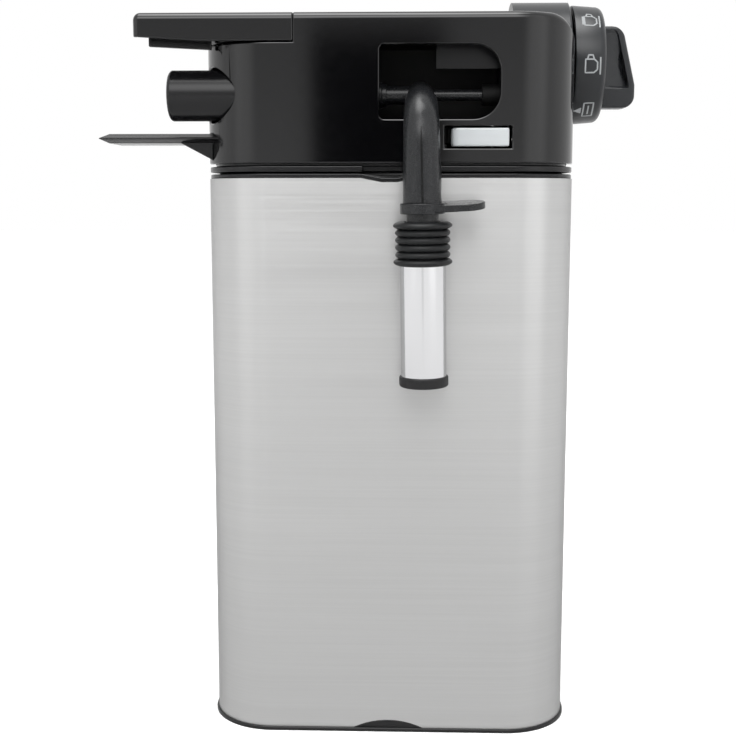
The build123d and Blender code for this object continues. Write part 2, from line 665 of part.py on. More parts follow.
def spout_pivot_pin():
    return rod_x(SPOUT_X + 3.0, BAY_X1 - BAY_T / 2, PIN_R, MIX_Y, MIX_Z)


def air_tube():
    start = (AIR_START_X, 0, DIAL_Z)
    rail = FilletPolyline(start, (AIR_X, 0, DIAL_Z), (AIR_X, MIX_Y, DIAL_Z), (AIR_X, MIX_Y, AIR_END_Z),
                          radius=[6, 4])
    section = Plane(origin=start, z_dir=(-1, 0, 0)) * Circle(AIR_R)
    tube = sweep(section, path=rail)
    return tube - rod_x(PORT_X1, BAY_X0, CHAMBER_R, MIX_Y, MIX_Z)


def froth_valve():
    body = rod_x(VALVE_X0, BOSS_X0, VALVE_R, 0, DIAL_Z)
    body -= rod_x(VALVE_BORE_X0, BOSS_X0 + 1, STEM_R + RUN, 0, DIAL_Z)
    return body - rod_x(VALVE_X0 - 1, VALVE_BORE_X0 + 1, VALVE_INLET_R, 0, DIAL_Z)


def dial_boss():
    cup = rod_x(BOSS_X0, BOSS_X1, BOSS_R, 0, DIAL_Z)
    cup = fillet(cup.edges().group_by(Axis.X)[-1], BOSS_EDGE)
    cup -= rod_x(BOSS_X0 + BOSS_T, BOSS_X1 - BOSS_T, BOSS_R - BOSS_T, 0, DIAL_Z)
    drain_z = DIAL_Z - 2 * BOSS_R / 3
    cup -= block(BOSS_X0 + BOSS_T, BOSS_X1 - BOSS_T, -BOSS_R / 2, BOSS_R / 2, DIAL_Z - BOSS_R - 1, drain_z)
    cup += rod_x(BOSS_X0 + 1, BOSS_X1 - 1, VALVE_R, 0, DIAL_Z)
    return cup - rod_x(BOSS_X0 - 1, BOSS_X1 + 1, STEM_R + RUN, 0, DIAL_Z)


# ---- froth dial ----
def finger_scoop():
    """Pocket in one side of the grip, deepest next to the slanted outer rim."""
    side = -PADDLE_HALF
    floor = -SCOOP_FLOOR
    points = [(-12, side - 1), (0, side - 1), (0, floor), (-1.5, floor), (-8.5, side), (-12, side)]
    outline = make_face(Polyline(*points, close=True))
    pocket = extrude(outline, SCOOP_Z1 - SCOOP_Z0)
    return Pos(SCOOP_X1, 0, SCOOP_Z0) * Rot(0, -GRIP_SLANT, 0) * pocket


def dial_knob():
    back = DIAL_X0
    disc = cone_x(back, DIAL_X1, DIAL_R, DIAL_FRONT_R, 0, DIAL_Z)
    disc = fillet(disc.edges().group_by(Axis.X)[-1], DIAL_EDGE)
    hollow = rod_x(back - 1, DIAL_X1 - DIAL_T, DIAL_R - DIAL_T, 0, DIAL_Z)
    disc -= hollow - rod_x(back - 1, DIAL_X1, DIAL_HUB_R, 0, DIAL_Z)
    low = DIAL_Z + PADDLE_FOOT
    high = DIAL_Z + PADDLE_TOP
    outer = PADDLE_X1
    points = [(DIAL_X1 - 1, high), (outer - 8.0, high), (outer - 4.6, high - 1.6), (outer, low + 8.2)]
    points += [(outer - 0.4, low + 3.2), (outer - 3.4, low), (DIAL_X1 - 1, low)]
    paddle = prism_y(points, -PADDLE_HALF, PADDLE_HALF)
    paddle -= both_sides(finger_scoop())
    return disc + paddle - rod_x(back - 1, DIAL_X1 - 3, STEM_R, 0, DIAL_Z)


def stem_groove():
    core = rod_x(STEM_SEAL_X0 - 1, STEM_SEAL_X1 + 1, STEM_R - STEM_GROOVE, 0, DIAL_Z)
    return rod_x(STEM_SEAL_X0, STEM_SEAL_X1, STEM_R, 0, DIAL_Z) - core


def dial_stem():
    """Stem with a flat at its inner end that opens the air valve as it turns."""
    stem = rod_x(STEM_X0, DIAL_X1 - 3, STEM_R, 0, DIAL_Z) - stem_groove()
    reach = STEM_R + 1
    return stem - block(STEM_X0 - 1, STEM_X0 + STEM_R, -reach, -STEM_R / 3, DIAL_Z - reach, DIAL_Z + reach)


def dial_o_ring():
    return stem_groove()


# ---- milk spout ----
def on_spout(z):
    """Point on the axis of the down tube at height z."""
    drop = FLANGE_Z1 - z
    return Vector(SPOUT_X + 0.5 + drop * LEAN_X, SPOUT_Y + 1.3 + drop * LEAN_Y, z)


def spout_rod(z0, z1, r0, r1=None):
    """Round bar or cone along the down tube from z0 up to z1."""
    low = on_spout(z0)
    high = on_spout(z1)
    length = (high - low).length
    plane = Plane(origin=(low + high) * 0.5, z_dir=high - low)
    if r1 is None:
        return plane.location * Cylinder(r0, length)
    return plane.location * Cone(r0, r1, length)


def elbow_rail():
    """Centre line from the hub, out through the window and down."""
    hub = Vector(SPOUT_X, MIX_Y, MIX_Z)
    corner_y = SPOUT_Y
    corner = Vector(SPOUT_X, corner_y, MIX_Z - (MIX_Y - corner_y) * math.tan(ARM_DROP))
    return FilletPolyline(hub, corner, on_spout(FLANGE_Z1), radius=BEND_R)


def elbow_loft(rail, radii):
    """Round section of changing radius along the centre line."""
    sections = []
    for at, radius in radii:
        plane = Plane(origin=rail @ at, z_dir=rail % at)
        sections.append(plane * Circle(radius))
    return loft(sections)


def spout_elbow():
    rail = elbow_rail()
    grow = [(0.0, KNUCKLE_R), (0.12, 4.5), (0.25, 4.9), (0.38, 5.2), (0.5, ELBOW_R)]
    grow += [(0.62, 5.55), (0.75, 5.7), (0.88, 5.9), (1.0, ELBOW_FOOT_R)]
    elbow = elbow_loft(rail, grow)
    elbow += Pos(SPOUT_X, MIX_Y, MIX_Z) * Sphere(KNUCKLE_R)
    elbow += rod_x(BAY_X0 + 0.5, SPOUT_X, SPIGOT_R, MIX_Y, MIX_Z)
    bore = [(at, ELBOW_BORE - 0.9 + 0.9 * at) for at, radius in grow]
    elbow -= elbow_loft(rail, bore)
    elbow -= rod_x(BAY_X0, SPOUT_X, SPIGOT_BORE_R, MIX_Y, MIX_Z)
    elbow -= spout_rod(FLANGE_Z0, FLANGE_Z1, FLANGE_R + 2)
    return elbow - rod_x(SPOUT_X + 2.9, SPOUT_X + KNUCKLE_R + 1, PIN_R + RUN, MIX_Y, MIX_Z)


def spout_flange():
    disc = spout_rod(FLANGE_Z0, FLANGE_Z1, FLANGE_R)
    centre = on_spout(FLANGE_Z0)
    root = Edge.make_circle(TAB_HALF)
    tip = Edge.make_circle(TAB_HALF, Plane((TAB_END_X - TAB_HALF - centre.X, 0, 0)))
    tab = Rot(TAB_TILT, -TAB_RISE, 0) * extrude(make_hull([root, tip]), TAB_T)
    tab = Pos(centre.X, centre.Y, FLANGE_Z0 + TAB_LIFT) * tab
    return disc + tab - spout_rod(FLANGE_Z0 - 2, FLANGE_Z1 + 2, OUTLET_R)


def outlet_tube():
    tube = spout_rod(OUTLET_Z0, FLANGE_Z1 - 0.4, OUTLET_R)
    tube -= spout_rod(SEAL_Z0, SEAL_Z1, OUTLET_R + 1) - spout_rod(SEAL_Z0, SEAL_Z1, OUTLET_R - SEAL_GROOVE)
    return tube - spout_rod(OUTLET_Z0 - 1, FLANGE_Z1 + 1, OUTLET_BORE)


def sleeve_o_ring():
    ring = spout_rod(SEAL_Z0, SEAL_Z1, SLEEVE_R - SLEEVE_T - RUN)
    return ring - spout_rod(SEAL_Z0 - 1, SEAL_Z1 + 1, OUTLET_R - SEAL_GROOVE)


# ---- sliding sleeve ----
def chrome_sleeve():
    tube = spout_rod(SLEEVE_Z0, SLEEVE_Z1, SLEEVE_R)
    return tube - spout_rod(SLEEVE_Z0 - 1, SLEEVE_Z1 + 1, SLEEVE_R - SLEEVE_T)


def glide_ring():
    ring = spout_rod(GLIDE_Z0, GLIDE_Z1, SLEEVE_R - SLEEVE_T)
    return ring - spout_rod(GLIDE_Z0 - 1, GLIDE_Z1 + 1, OUTLET_R + RUN)


def ribbed_grip():
    grip = spout_rod(GRIP_Z0, GRIP_Z1, GRIP_CORE_R)
    pitch = (GRIP_Z1 - GRIP_Z0) / GRIP_RINGS
    for index in range(GRIP_RINGS):
        low = GRIP_Z0 + index * pitch + 0.35
        end = index in (0, GRIP_RINGS - 1)
        ring = spout_rod(low, low + pitch - 0.7, GRIP_END_R if end else GRIP_RING_R)
        grip += fillet(ring.edges(), 0.6)
    grip -= spout_rod(GRIP_Z0 - 1, SLEEVE_Z1, SLEEVE_R)
    return grip - spout_rod(SLEEVE_Z1 - 0.1, GRIP_Z1 + 1, OUTLET_R + 0.5)


def sleeve_end_ring():
    ring = fillet(spout_rod(END_Z0, END_Z1, END_RING_R).edges(), 0.7)
    ring -= spout_rod(SLEEVE_Z0, END_Z1 + 1, SLEEVE_R)
    return ring - spout_rod(END_Z0 - 1, END_Z1 + 1, SLEEVE_R - SLEEVE_T)


# ---- head release ----
def button_cap():
    front = -BODY_D / 2
    cap = block(BUTTON_X0, BUTTON_X1, front, front + 2.6, BUTTON_Z0, BUTTON_Z1)
    nose = cap.edges().filter_by(Axis.Z).group_by(Axis.X)[0].sort_by(Axis.Y)[0]
    cap = fillet(nose, 2.5)
    return fillet(cap.faces().sort_by(Axis.Y)[0].edges().group_by(Axis.X)[-1], 0.5)


def release_lever():
    front = -BODY_D / 2 + 2.6
    lever = rod_z(PIVOT_X, PIVOT_Y, KNUCKLE_Z0, BUTTON_Z1, PIVOT_R + KNUCKLE_WALL)
    lever += block(PIVOT_X, BUTTON_X0, PIVOT_Y - 0.7, PIVOT_Y + 1.3, KNUCKLE_Z0, BUTTON_Z1)
    lever += block(BUTTON_X0, BUTTON_X1 - 0.4, PIVOT_Y - 0.7, PIVOT_Y + 1.3, BUTTON_Z0, BUTTON_Z1)
    lever += block(BUTTON_X0 + 3.0, BUTTON_X1 - 1.5, front, PIVOT_Y, BUTTON_Z0 + 1, BUTTON_Z1 - 1)
    lever += block(NOSE_X0, NOSE_X1, PIVOT_Y - 0.7, PIVOT_Y + 1.3, NOSE_Z0, BUTTON_Z0 + 1)
    return lever - rod_z(PIVOT_X, PIVOT_Y, BUTTON_Z0 - 1, BUTTON_Z1 + 1, PIVOT_R + RUN)


def latch_pins():
    pin = rod_z(PIVOT_X, PIVOT_Y, RIM_Z1, WIN_Z0 - 1.6, PIVOT_R)
    return Compound(children=[pin, mirror(pin, Plane.XZ)])


def latch_springs():
    """Return springs wound round the latch pins, below the levers, as closed sleeves."""
    coil = rod_z(PIVOT_X, PIVOT_Y, SPIGOT_Z1 + 0.2, KNUCKLE_Z0 - 0.2, PIVOT_R + 1.1)
    coil -= rod_z(PIVOT_X, PIVOT_Y, SPIGOT_Z1 - 1, KNUCKLE_Z0 + 1, PIVOT_R)
    return Compound(children=[coil, mirror(coil, Plane.XZ)])


PARTS = {
    "outer_shell": outer_shell,
    "base_pan": base_pan,
    "foot_pads": foot_pads,
    "base_screws": base_screws,
    "vessel_cradle": vessel_cradle,
    "inner_vessel": inner_vessel,
    "insulation_jacket": insulation_jacket,
    "collar": collar,
    "collar_gasket": collar_gasket,
    "head_chassis": head_chassis,
    "plug_seal": plug_seal,
    "chassis_screws": chassis_screws,
    "head_cover": head_cover,
    "docking_plate": docking_plate,
    "docking_rail": docking_rail,
    "docking_tongue": docking_tongue,
    "steam_connector": steam_connector,
    "connector_seal": connector_seal,
    "venturi_nozzle": venturi_nozzle,
    "mixing_chamber": mixing_chamber,
    "milk_riser": milk_riser,
    "hose_nipple": hose_nipple,
    "dip_tube": dip_tube,
    "dip_tube_foot": dip_tube_foot,
    "spout_bay": spout_bay,
    "bay_baffle": bay_baffle,
    "spout_bush": spout_bush,
    "spout_pivot_pin": spout_pivot_pin,
    "air_tube": air_tube,
    "froth_valve": froth_valve,
    "dial_boss": dial_boss,
    "latch_pins": latch_pins,
    "latch_springs": latch_springs,
    "dial_knob": dial_knob,
    "dial_stem": dial_stem,
    "dial_o_ring": dial_o_ring,
    "spout_elbow": spout_elbow,
    "spout_flange": spout_flange,
    "outlet_tube": outlet_tube,
    "sleeve_o_ring": sleeve_o_ring,
    "chrome_sleeve": chrome_sleeve,
    "glide_ring": glide_ring,
    "ribbed_grip": ribbed_grip,
    "sleeve_end_ring": sleeve_end_ring,
    "button_cap_front": button_cap,
    "release_lever_front": release_lever,
    "button_cap_rear": lambda: mirror(button_cap(), Plane.XZ),
    "release_lever_rear": lambda: mirror(release_lever(), Plane.XZ),
}

for name, make in PARTS.items():
    export_step(make(), os.path.join("parts", name + ".step"))
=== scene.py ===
"""Looks of an insulated milk carafe with a frothing head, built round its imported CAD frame."""
import json
import math

import bmesh
import bpy
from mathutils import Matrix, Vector


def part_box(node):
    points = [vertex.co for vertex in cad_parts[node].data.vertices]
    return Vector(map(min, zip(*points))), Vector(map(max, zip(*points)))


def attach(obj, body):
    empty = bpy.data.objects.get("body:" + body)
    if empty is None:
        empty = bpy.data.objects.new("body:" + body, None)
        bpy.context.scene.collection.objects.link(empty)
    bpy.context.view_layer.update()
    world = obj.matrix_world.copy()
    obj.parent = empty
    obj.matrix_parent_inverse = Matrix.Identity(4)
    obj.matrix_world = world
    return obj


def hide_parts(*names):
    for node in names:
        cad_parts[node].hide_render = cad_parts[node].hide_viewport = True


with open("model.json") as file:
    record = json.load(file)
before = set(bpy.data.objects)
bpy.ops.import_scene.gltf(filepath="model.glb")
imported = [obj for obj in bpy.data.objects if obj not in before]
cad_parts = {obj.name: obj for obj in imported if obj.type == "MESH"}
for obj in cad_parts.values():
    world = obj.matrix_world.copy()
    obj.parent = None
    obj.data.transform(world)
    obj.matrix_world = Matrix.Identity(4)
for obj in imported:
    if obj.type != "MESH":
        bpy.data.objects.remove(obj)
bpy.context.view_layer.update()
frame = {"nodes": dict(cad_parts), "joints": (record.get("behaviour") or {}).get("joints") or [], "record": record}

MM = 0.001
nodes = frame["nodes"]
joints = {joint["name"]: joint for joint in frame["joints"]}

# ---- places read from the frame ----
hub = Vector(joints["spout_swing"]["pos_m"])
dial_centre = Vector(joints["froth_dial_turn"]["pos_m"])
sleeve_down = Vector(joints["sleeve_slide"]["axis"]).normalized()


def middle(node):
    """Centre of a CAD node's box."""
    low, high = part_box(node)
    return (low + high) / 2


# ---- looks ----
BRUSH_LINES = 1800.0                    # scale of the streaks up the shell
BRUSH_ALONG = 14.0                      # and round it
STREAK_SPAN = (0.5, 0.85)               # part of the streaks' noise that colour and gloss follow
BROAD_ALONG = 0.4                       # broad streaks under the fine ones, as shares of their scales
BROAD_LINES = 0.12
BROAD_WEIGHT = 0.35
STREAK_DEPTH = 0.00002
SMEAR = 0.65                            # how far brushing stretches a highlight
SMEAR_TURN = 0.25                       # a quarter turn from the streaks
METAL_TINT = (0.63, 0.63, 0.63, 1.0)    # of the metals' reflections at a glancing angle
FLOW_SCALE = 22.0                       # flow marks in moulded plastic, longer upright
FLOW_STRETCH = (1.0, 1.0, 0.45)
GRAIN_DEPTH = 0.00005
COAT_ROUGHNESS = 0.04


def new_material(name, colour, roughness, metallic=0.0):
    """Material with its node tree and its main shader."""
    material = bpy.data.materials.new(name)
    material.use_nodes = True
    shader = material.node_tree.nodes["Principled BSDF"]
    shader.inputs["Base Color"].default_value = (*colour, 1.0)
    shader.inputs["Roughness"].default_value = roughness
    shader.inputs["Metallic"].default_value = metallic
    return material, material.node_tree, shader


def add_noise(tree, scale, stretch=(1.0, 1.0, 1.0), detail=3.0):
    """Noise over the object's own coordinates, in metres."""
    coords = tree.nodes.new("ShaderNodeTexCoord")
    mapping = tree.nodes.new("ShaderNodeMapping")
    mapping.inputs["Scale"].default_value = stretch
    noise = tree.nodes.new("ShaderNodeTexNoise")
    noise.inputs["Scale"].default_value = scale
    noise.inputs["Detail"].default_value = detail
    tree.links.new(coords.outputs["Object"], mapping.inputs["Vector"])
    tree.links.new(mapping.outputs["Vector"], noise.inputs["Vector"])
    return noise.outputs["Fac"]


def add_range(tree, value, low, high, from_low=0.3, from_high=0.7):
    """Number that runs from low to high with a value."""
    spread = tree.nodes.new("ShaderNodeMapRange")
    spread.inputs["From Min"].default_value = from_low
    spread.inputs["From Max"].default_value = from_high
    spread.inputs["To Min"].default_value = low
    spread.inputs["To Max"].default_value = high
    tree.links.new(value, spread.inputs["Value"])
    return spread.outputs["Result"]


def add_colours(tree, value, dark, light, from_low=0.35, from_high=0.65):
    """Colour that runs from dark to light with a value."""
    ramp = tree.nodes.new("ShaderNodeValToRGB")
    ramp.color_ramp.elements[0].position = from_low
    ramp.color_ramp.elements[0].color = (*dark, 1.0)
    ramp.color_ramp.elements[1].position = from_high
    ramp.color_ramp.elements[1].color = (*light, 1.0)
    tree.links.new(value, ramp.inputs["Fac"])
    return ramp.outputs["Color"]


def add_bump(tree, shader, value, strength, distance):
    """Relief that follows a value, its distance in metres."""
    bump = tree.nodes.new("ShaderNodeBump")
    bump.inputs["Strength"].default_value = strength
    bump.inputs["Distance"].default_value = distance
    tree.links.new(value, bump.inputs["Height"])
    tree.links.new(bump.outputs["Normal"], shader.inputs["Normal"])


def shade(colour, factor):
    """A colour made darker or lighter."""
    return tuple(channel * factor for channel in colour)


def brushed(name, colour, roughness, lines, along, contrast=0.05):
    """Brushed metal: fine streaks that run level round the body and smear highlights upright."""
    material, tree, shader = new_material(name, colour, roughness, 1.0)
    fine = add_noise(tree, 1.0, (along, along, lines), 5.0)
    broad = add_noise(tree, 1.0, (along * BROAD_ALONG, along * BROAD_ALONG, lines * BROAD_LINES), 2.0)
    mixed = tree.nodes.new("ShaderNodeMath")
    mixed.operation = "MULTIPLY_ADD"
    mixed.inputs[1].default_value = BROAD_WEIGHT
    tree.links.new(broad, mixed.inputs[0])
    tree.links.new(fine, mixed.inputs[2])
    streaks = mixed.outputs[0]
    dark = shade(colour, 1 - contrast)
    light = shade(colour, 1 + contrast)
    tree.links.new(add_colours(tree, streaks, dark, light, *STREAK_SPAN), shader.inputs["Base Color"])
    tree.links.new(add_range(tree, streaks, roughness - 0.02, roughness + 0.03, *STREAK_SPAN),
                   shader.inputs["Roughness"])
    add_bump(tree, shader, streaks, 0.03, STREAK_DEPTH)
    shader.inputs["Anisotropic"].default_value = SMEAR
    shader.inputs["Anisotropic Rotation"].default_value = SMEAR_TURN
    shader.inputs["Specular Tint"].default_value = METAL_TINT
    tangent = tree.nodes.new("ShaderNodeTangent")
    tangent.direction_type = "RADIAL"
    tangent.axis = "Z"
    tree.links.new(tangent.outputs["Tangent"], shader.inputs["Tangent"])
    return material


def plastic(name, colour, roughness, grain, spread=0.05, bump=0.05, variation=0.12, coat=0.0, gleam=0.5):
    """Moulded plastic: faint flow marks in its colour, and a fine eroded grain."""
    material, tree, shader = new_material(name, colour, roughness)
    flow = add_noise(tree, FLOW_SCALE, FLOW_STRETCH, 3.0)
    tree.links.new(add_colours(tree, flow, shade(colour, 1 - variation), shade(colour, 1 + variation)),
                   shader.inputs["Base Color"])
    texture = add_noise(tree, grain, detail=2.0)
    tree.links.new(add_range(tree, texture, roughness - spread / 2, roughness + spread),
                   shader.inputs["Roughness"])
    add_bump(tree, shader, texture, bump, GRAIN_DEPTH)
    shader.inputs["Specular IOR Level"].default_value = gleam
    shader.inputs["Coat Weight"].default_value = coat
    shader.inputs["Coat Roughness"].default_value = COAT_ROUGHNESS
    return material


def polished(name, colour, roughness):
    """Bright plated metal with faint wiping marks."""
    material, tree, shader = new_material(name, colour, roughness, 1.0)
    wipe = add_noise(tree, 60.0, (1.0, 1.0, 0.15), 4.0)
    tree.links.new(add_range(tree, wipe, roughness - 0.02, roughness + 0.04), shader.inputs["Roughness"])
    tree.links.new(add_colours(tree, wipe, shade(colour, 0.96), colour), shader.inputs["Base Color"])
    shader.inputs["Specular Tint"].default_value = METAL_TINT
    return material


def silicone(name, colour):
    """Cloudy, half clear hose rubber."""
    material, tree, shader = new_material(name, colour, 0.35)
    shader.inputs["Transmission Weight"].default_value = 0.55
    shader.inputs["IOR"].default_value = 1.41
    cloud = add_noise(tree, 140.0)
    tree.links.new(add_range(tree, cloud, 0.3, 0.45), shader.inputs["Roughness"])
    return material


def felt(name, colour):
    """Matted fibres with a soft sheen."""
    material, tree, shader = new_material(name, colour, 0.95)
    shader.inputs["Sheen Weight"].default_value = 0.3
    fibres = add_noise(tree, 900.0, detail=6.0)
    tree.links.new(add_colours(tree, fibres, shade(colour, 0.8), shade(colour, 1.1)),
                   shader.inputs["Base Color"])
    add_bump(tree, shader, fibres, 0.5, 0.0004)
    return material


looks = {
    "shell_steel": brushed("brushed_shell_steel", (0.56, 0.56, 0.557), 0.32, BRUSH_LINES, BRUSH_ALONG,
                           contrast=0.022),
    "vessel_steel": brushed("drawn_vessel_steel", (0.62, 0.62, 0.63), 0.24, 500.0, 30.0),
    "small_steel": brushed("fastener_steel", (0.5, 0.5, 0.52), 0.28, 900.0, 400.0),
    "sleeve_chrome": polished("sleeve_chrome_plate", (0.71, 0.71, 0.72), 0.12),
    "base_black": plastic("base_black_plastic", (0.006, 0.006, 0.0065), 0.36, 3600.0,
                          spread=0.03, bump=0.02, gleam=0.35),
    "head_gloss": plastic("head_gloss_plastic", (0.0015, 0.0015, 0.0018), 0.07, 420.0,
                          spread=0.02, bump=0.008, gleam=0.55),
    "dock_black": plastic("dock_black_plastic", (0.004, 0.004, 0.0045), 0.24, 3600.0,
                          spread=0.03, bump=0.015, gleam=0.36),
    "inner_black": plastic("inner_black_plastic", (0.002, 0.002, 0.002), 0.6, 2600.0,
                           spread=0.04, bump=0.03, gleam=0.2),
    "spout_grey": plastic("spout_grey_plastic", (0.008, 0.0085, 0.0095), 0.27, 3600.0,
                          spread=0.03, bump=0.02, gleam=0.38),
    "dial_grey": plastic("dial_grey_plastic", (0.010, 0.0112, 0.013), 0.30, 3600.0,
                         spread=0.04, bump=0.03, gleam=0.44),
    "button_silver": plastic("button_silver_coat", (0.41, 0.43, 0.44), 0.30, 3600.0,
                             spread=0.04, bump=0.02, variation=0.03, coat=0.3),
    "grip_rubber": plastic("grip_rubber", (0.007, 0.0075, 0.008), 0.40, 3000.0,
                           spread=0.06, bump=0.08, gleam=0.26),
    "seal_rubber": plastic("seal_rubber", (0.008, 0.008, 0.0085), 0.46, 2400.0,
                           spread=0.06, bump=0.06, gleam=0.3),
    "clear_silicone": silicone("milk_hose_silicone", (0.78, 0.78, 0.75)),
    "felt": felt("jacket_felt", (0.62, 0.61, 0.58)),
    "mark_print": plastic("mark_print", (0.24, 0.25, 0.255), 0.5, 3000.0,
                          spread=0.05, bump=0.02, variation=0.05),
}

slot_of = {part["node"]: part["material_slot"] for part in frame["record"]["subparts"]}
for node_name, node in nodes.items():
    node.data.materials.clear()
    node.data.materials.append(looks[slot_of[node_name]])


# ---- mesh helpers ----
LATHE_TURNS = 160
AXIS_R = 0.05    # a lathed face ends this close to its axis


def make_piece(name, points, faces, body, slot, look=None, crease=35.0):
    """Object from points and faces that rides on a body and takes a look, by default its slot's own."""
    mesh = bpy.data.meshes.new(name)
    mesh.from_pydata([tuple(point) for point in points], [], faces)
    form = bmesh.new()
    form.from_mesh(mesh)
    bmesh.ops.recalc_face_normals(form, faces=form.faces)
    form.to_mesh(mesh)
    form.free()
    mesh.shade_smooth()
    mesh.set_sharp_from_angle(angle=math.radians(crease))
    mesh.materials.append(looks[look or slot])
    piece = bpy.data.objects.new(name, mesh)
    bpy.context.scene.collection.objects.link(piece)
    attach(piece, body)
    return piece


def joined(shapes):
    """One list of points and one of faces from several shapes."""
    points = []
    faces = []
    for some_points, some_faces in shapes:
        offset = len(points)
        points += some_points
        faces += [tuple(index + offset for index in face) for face in some_faces]
    return points, faces


def axis_frame(direction):
    """Two unit vectors square to a direction."""
    direction = direction.normalized()
    side = direction.cross(Vector((0.0, 1.0, 0.0)))
    if side.length < 0.1:
        side = direction.cross(Vector((0.0, 0.0, 1.0)))
    side.normalize()
    return side, side.cross(direction).normalized()


def ring_quads(low, high, sides):
    """Faces between two rings of points, whose first points are low and high."""
    quads = []
    for step in range(sides):
        ahead = (step + 1) % sides
        quads.append((low + step, low + ahead, high + ahead, high + step))
    return quads


def strip_faces(count, closed=False):
    """Faces of a flat strip through count cross sections of four points each."""
    faces = []
    for index in range(count if closed else count - 1):
        low = 4 * index
        high = 4 * ((index + 1) % count)
        for first, second in ((0, 2), (2, 3), (3, 1), (1, 0)):
            faces.append((low + first, low + second, high + second, high + first))
    if not closed:
        last = 4 * (count - 1)
        faces += [(0, 2, 3, 1), (last, last + 2, last + 3, last + 1)]
    return faces


def lathe(origin, direction, profile, turns):
    """Points and faces of a closed (along, radius) profile, in millimetres, turned about an axis."""
    side, other = axis_frame(direction)
    direction = direction.normalized()
    points = []
    for along, radius in profile:
        for step in range(turns):
            angle = 2 * math.pi * step / turns
            out = side * math.cos(angle) + other * math.sin(angle)
            points.append(origin + (direction * along + out * radius) * MM)
    faces = []
    count = len(profile)
    for row in range(count):
        faces += ring_quads(row * turns, (row + 1) % count * turns, turns)
    return points, faces


EDGE_SEGMENTS = 2
EDGE_ANGLE = 30.0      # degrees between faces that makes an edge worth rounding
FLATS_ANGLE = 0.05     # degrees within which facets are one flat
FACE_WEIGHT = 100


def joined_shading(weld_distance, sharp_angle):
    """Node group that joins split points and shades smoothly across all but the sharp edges."""
    group = bpy.data.node_groups.new("joined_shading", "GeometryNodeTree")
    group.interface.new_socket("Geometry", in_out="INPUT", socket_type="NodeSocketGeometry")
    group.interface.new_socket("Geometry", in_out="OUTPUT", socket_type="NodeSocketGeometry")
    entry = group.nodes.new("NodeGroupInput")
    leave = group.nodes.new("NodeGroupOutput")
    weld = group.nodes.new("GeometryNodeMergeByDistance")
    weld.inputs["Distance"].default_value = weld_distance
    angle = group.nodes.new("GeometryNodeInputMeshEdgeAngle")
    sharp = group.nodes.new("FunctionNodeCompare")
    sharp.operation = "GREATER_THAN"
    sharp.inputs["B"].default_value = sharp_angle
    normals = group.nodes.new("GeometryNodeSetMeshNormal")
    normals.mode = "SHARPNESS"
    normals.inputs["Remove Custom"].default_value = True
    group.links.new(entry.outputs[0], weld.inputs["Geometry"])
    group.links.new(weld.outputs["Geometry"], normals.inputs["Mesh"])
    group.links.new(angle.outputs["Unsigned Angle"], sharp.inputs["A"])
    group.links.new(sharp.outputs["Result"], normals.inputs["Edge Sharpness"])
    group.links.new(normals.outputs["Mesh"], leave.inputs[0])
    return group


def soften(piece, group, width):
    """Small rounded edges, as moulding and pressing leave them, and even shading beside them."""
    joined_up = piece.modifiers.new("joined_shading", "NODES")
    joined_up.node_group = group
    if width:
        flat = piece.modifiers.new("whole_flats", "DECIMATE")
        flat.decimate_type = "DISSOLVE"
        flat.angle_limit = math.radians(FLATS_ANGLE)
        bevel = piece.modifiers.new("soft_edges", "BEVEL")
        bevel.width = width
        bevel.segments = EDGE_SEGMENTS
        bevel.limit_method = "ANGLE"
        bevel.angle_limit = math.radians(EDGE_ANGLE)
        bevel.use_clamp_overlap = False
    even = piece.modifiers.new("even_normals", "WEIGHTED_NORMAL")
    even.weight = FACE_WEIGHT
    even.keep_sharp = True


def arc(centre, radius, start, end, steps):
    """Points of an arc in a profile, angles in degrees."""
    points = []
    for step in range(steps + 1):
        angle = math.radians(start + (end - start) * step / steps)
        points.append((centre[0] + radius * math.cos(angle), centre[1] + radius * math.sin(angle)))
    return points


def round_bar(path, radius, sides=12):
    """Closed bar along a list of points in metres, its radius in millimetres."""
    points = []
    faces = []
    for index, place in enumerate(path):
        ahead = path[min(index + 1, len(path) - 1)]
        behind = path[max(index - 1, 0)]
        side, other = axis_frame(ahead - behind)
        for step in range(sides):
            angle = 2 * math.pi * step / sides
            points.append(place + (side * math.cos(angle) + other * math.sin(angle)) * radius * MM)
    for index in range(len(path) - 1):
        faces += ring_quads(index * sides, (index + 1) * sides, sides)
    faces.append(tuple(range(sides)))
    last = (len(path) - 1) * sides
    faces.append(tuple(range(last, last + sides)))
    return points, faces


# ---- spout: rubber grip, sleeve and parting line, in millimetres ----
GRIP_LENGTH = 13.4
GRIP_RINGS = 6
GRIP_GROOVE_R = 7.4
GRIP_RING_R = 8.5
GRIP_END_R = 9.1
GRIP_LIP = 1.25
GRIP_LIP_R = 5.6
GRIP_TOP_LAND = 0.3
GRIP_FOOT_LAND = 0.1
GRIP_SQUEEZE = 0.03
GRIP_STEPS = 10
GRIP_FULLNESS = 0.62
GRIP_TURNS = 120
SLEEVE_OUT_R = 7.1
SLEEVE_IN_R = 6.5
SLEEVE_LENGTH = 47.5
SLEEVE_EDGE = 0.15
PARTING_START = 11.5
PARTING_FOOT = 0.3
PARTING_STEPS = 40
PARTING_PROUD = 0.03
PARTING_SUNK = 0.3
PARTING_THIN = 0.05
PARTING_WIDEN = 0.27
PARTING_SIDE = -0.1
PARTING_DRIFT = 0.6
RAY_START = 20.0


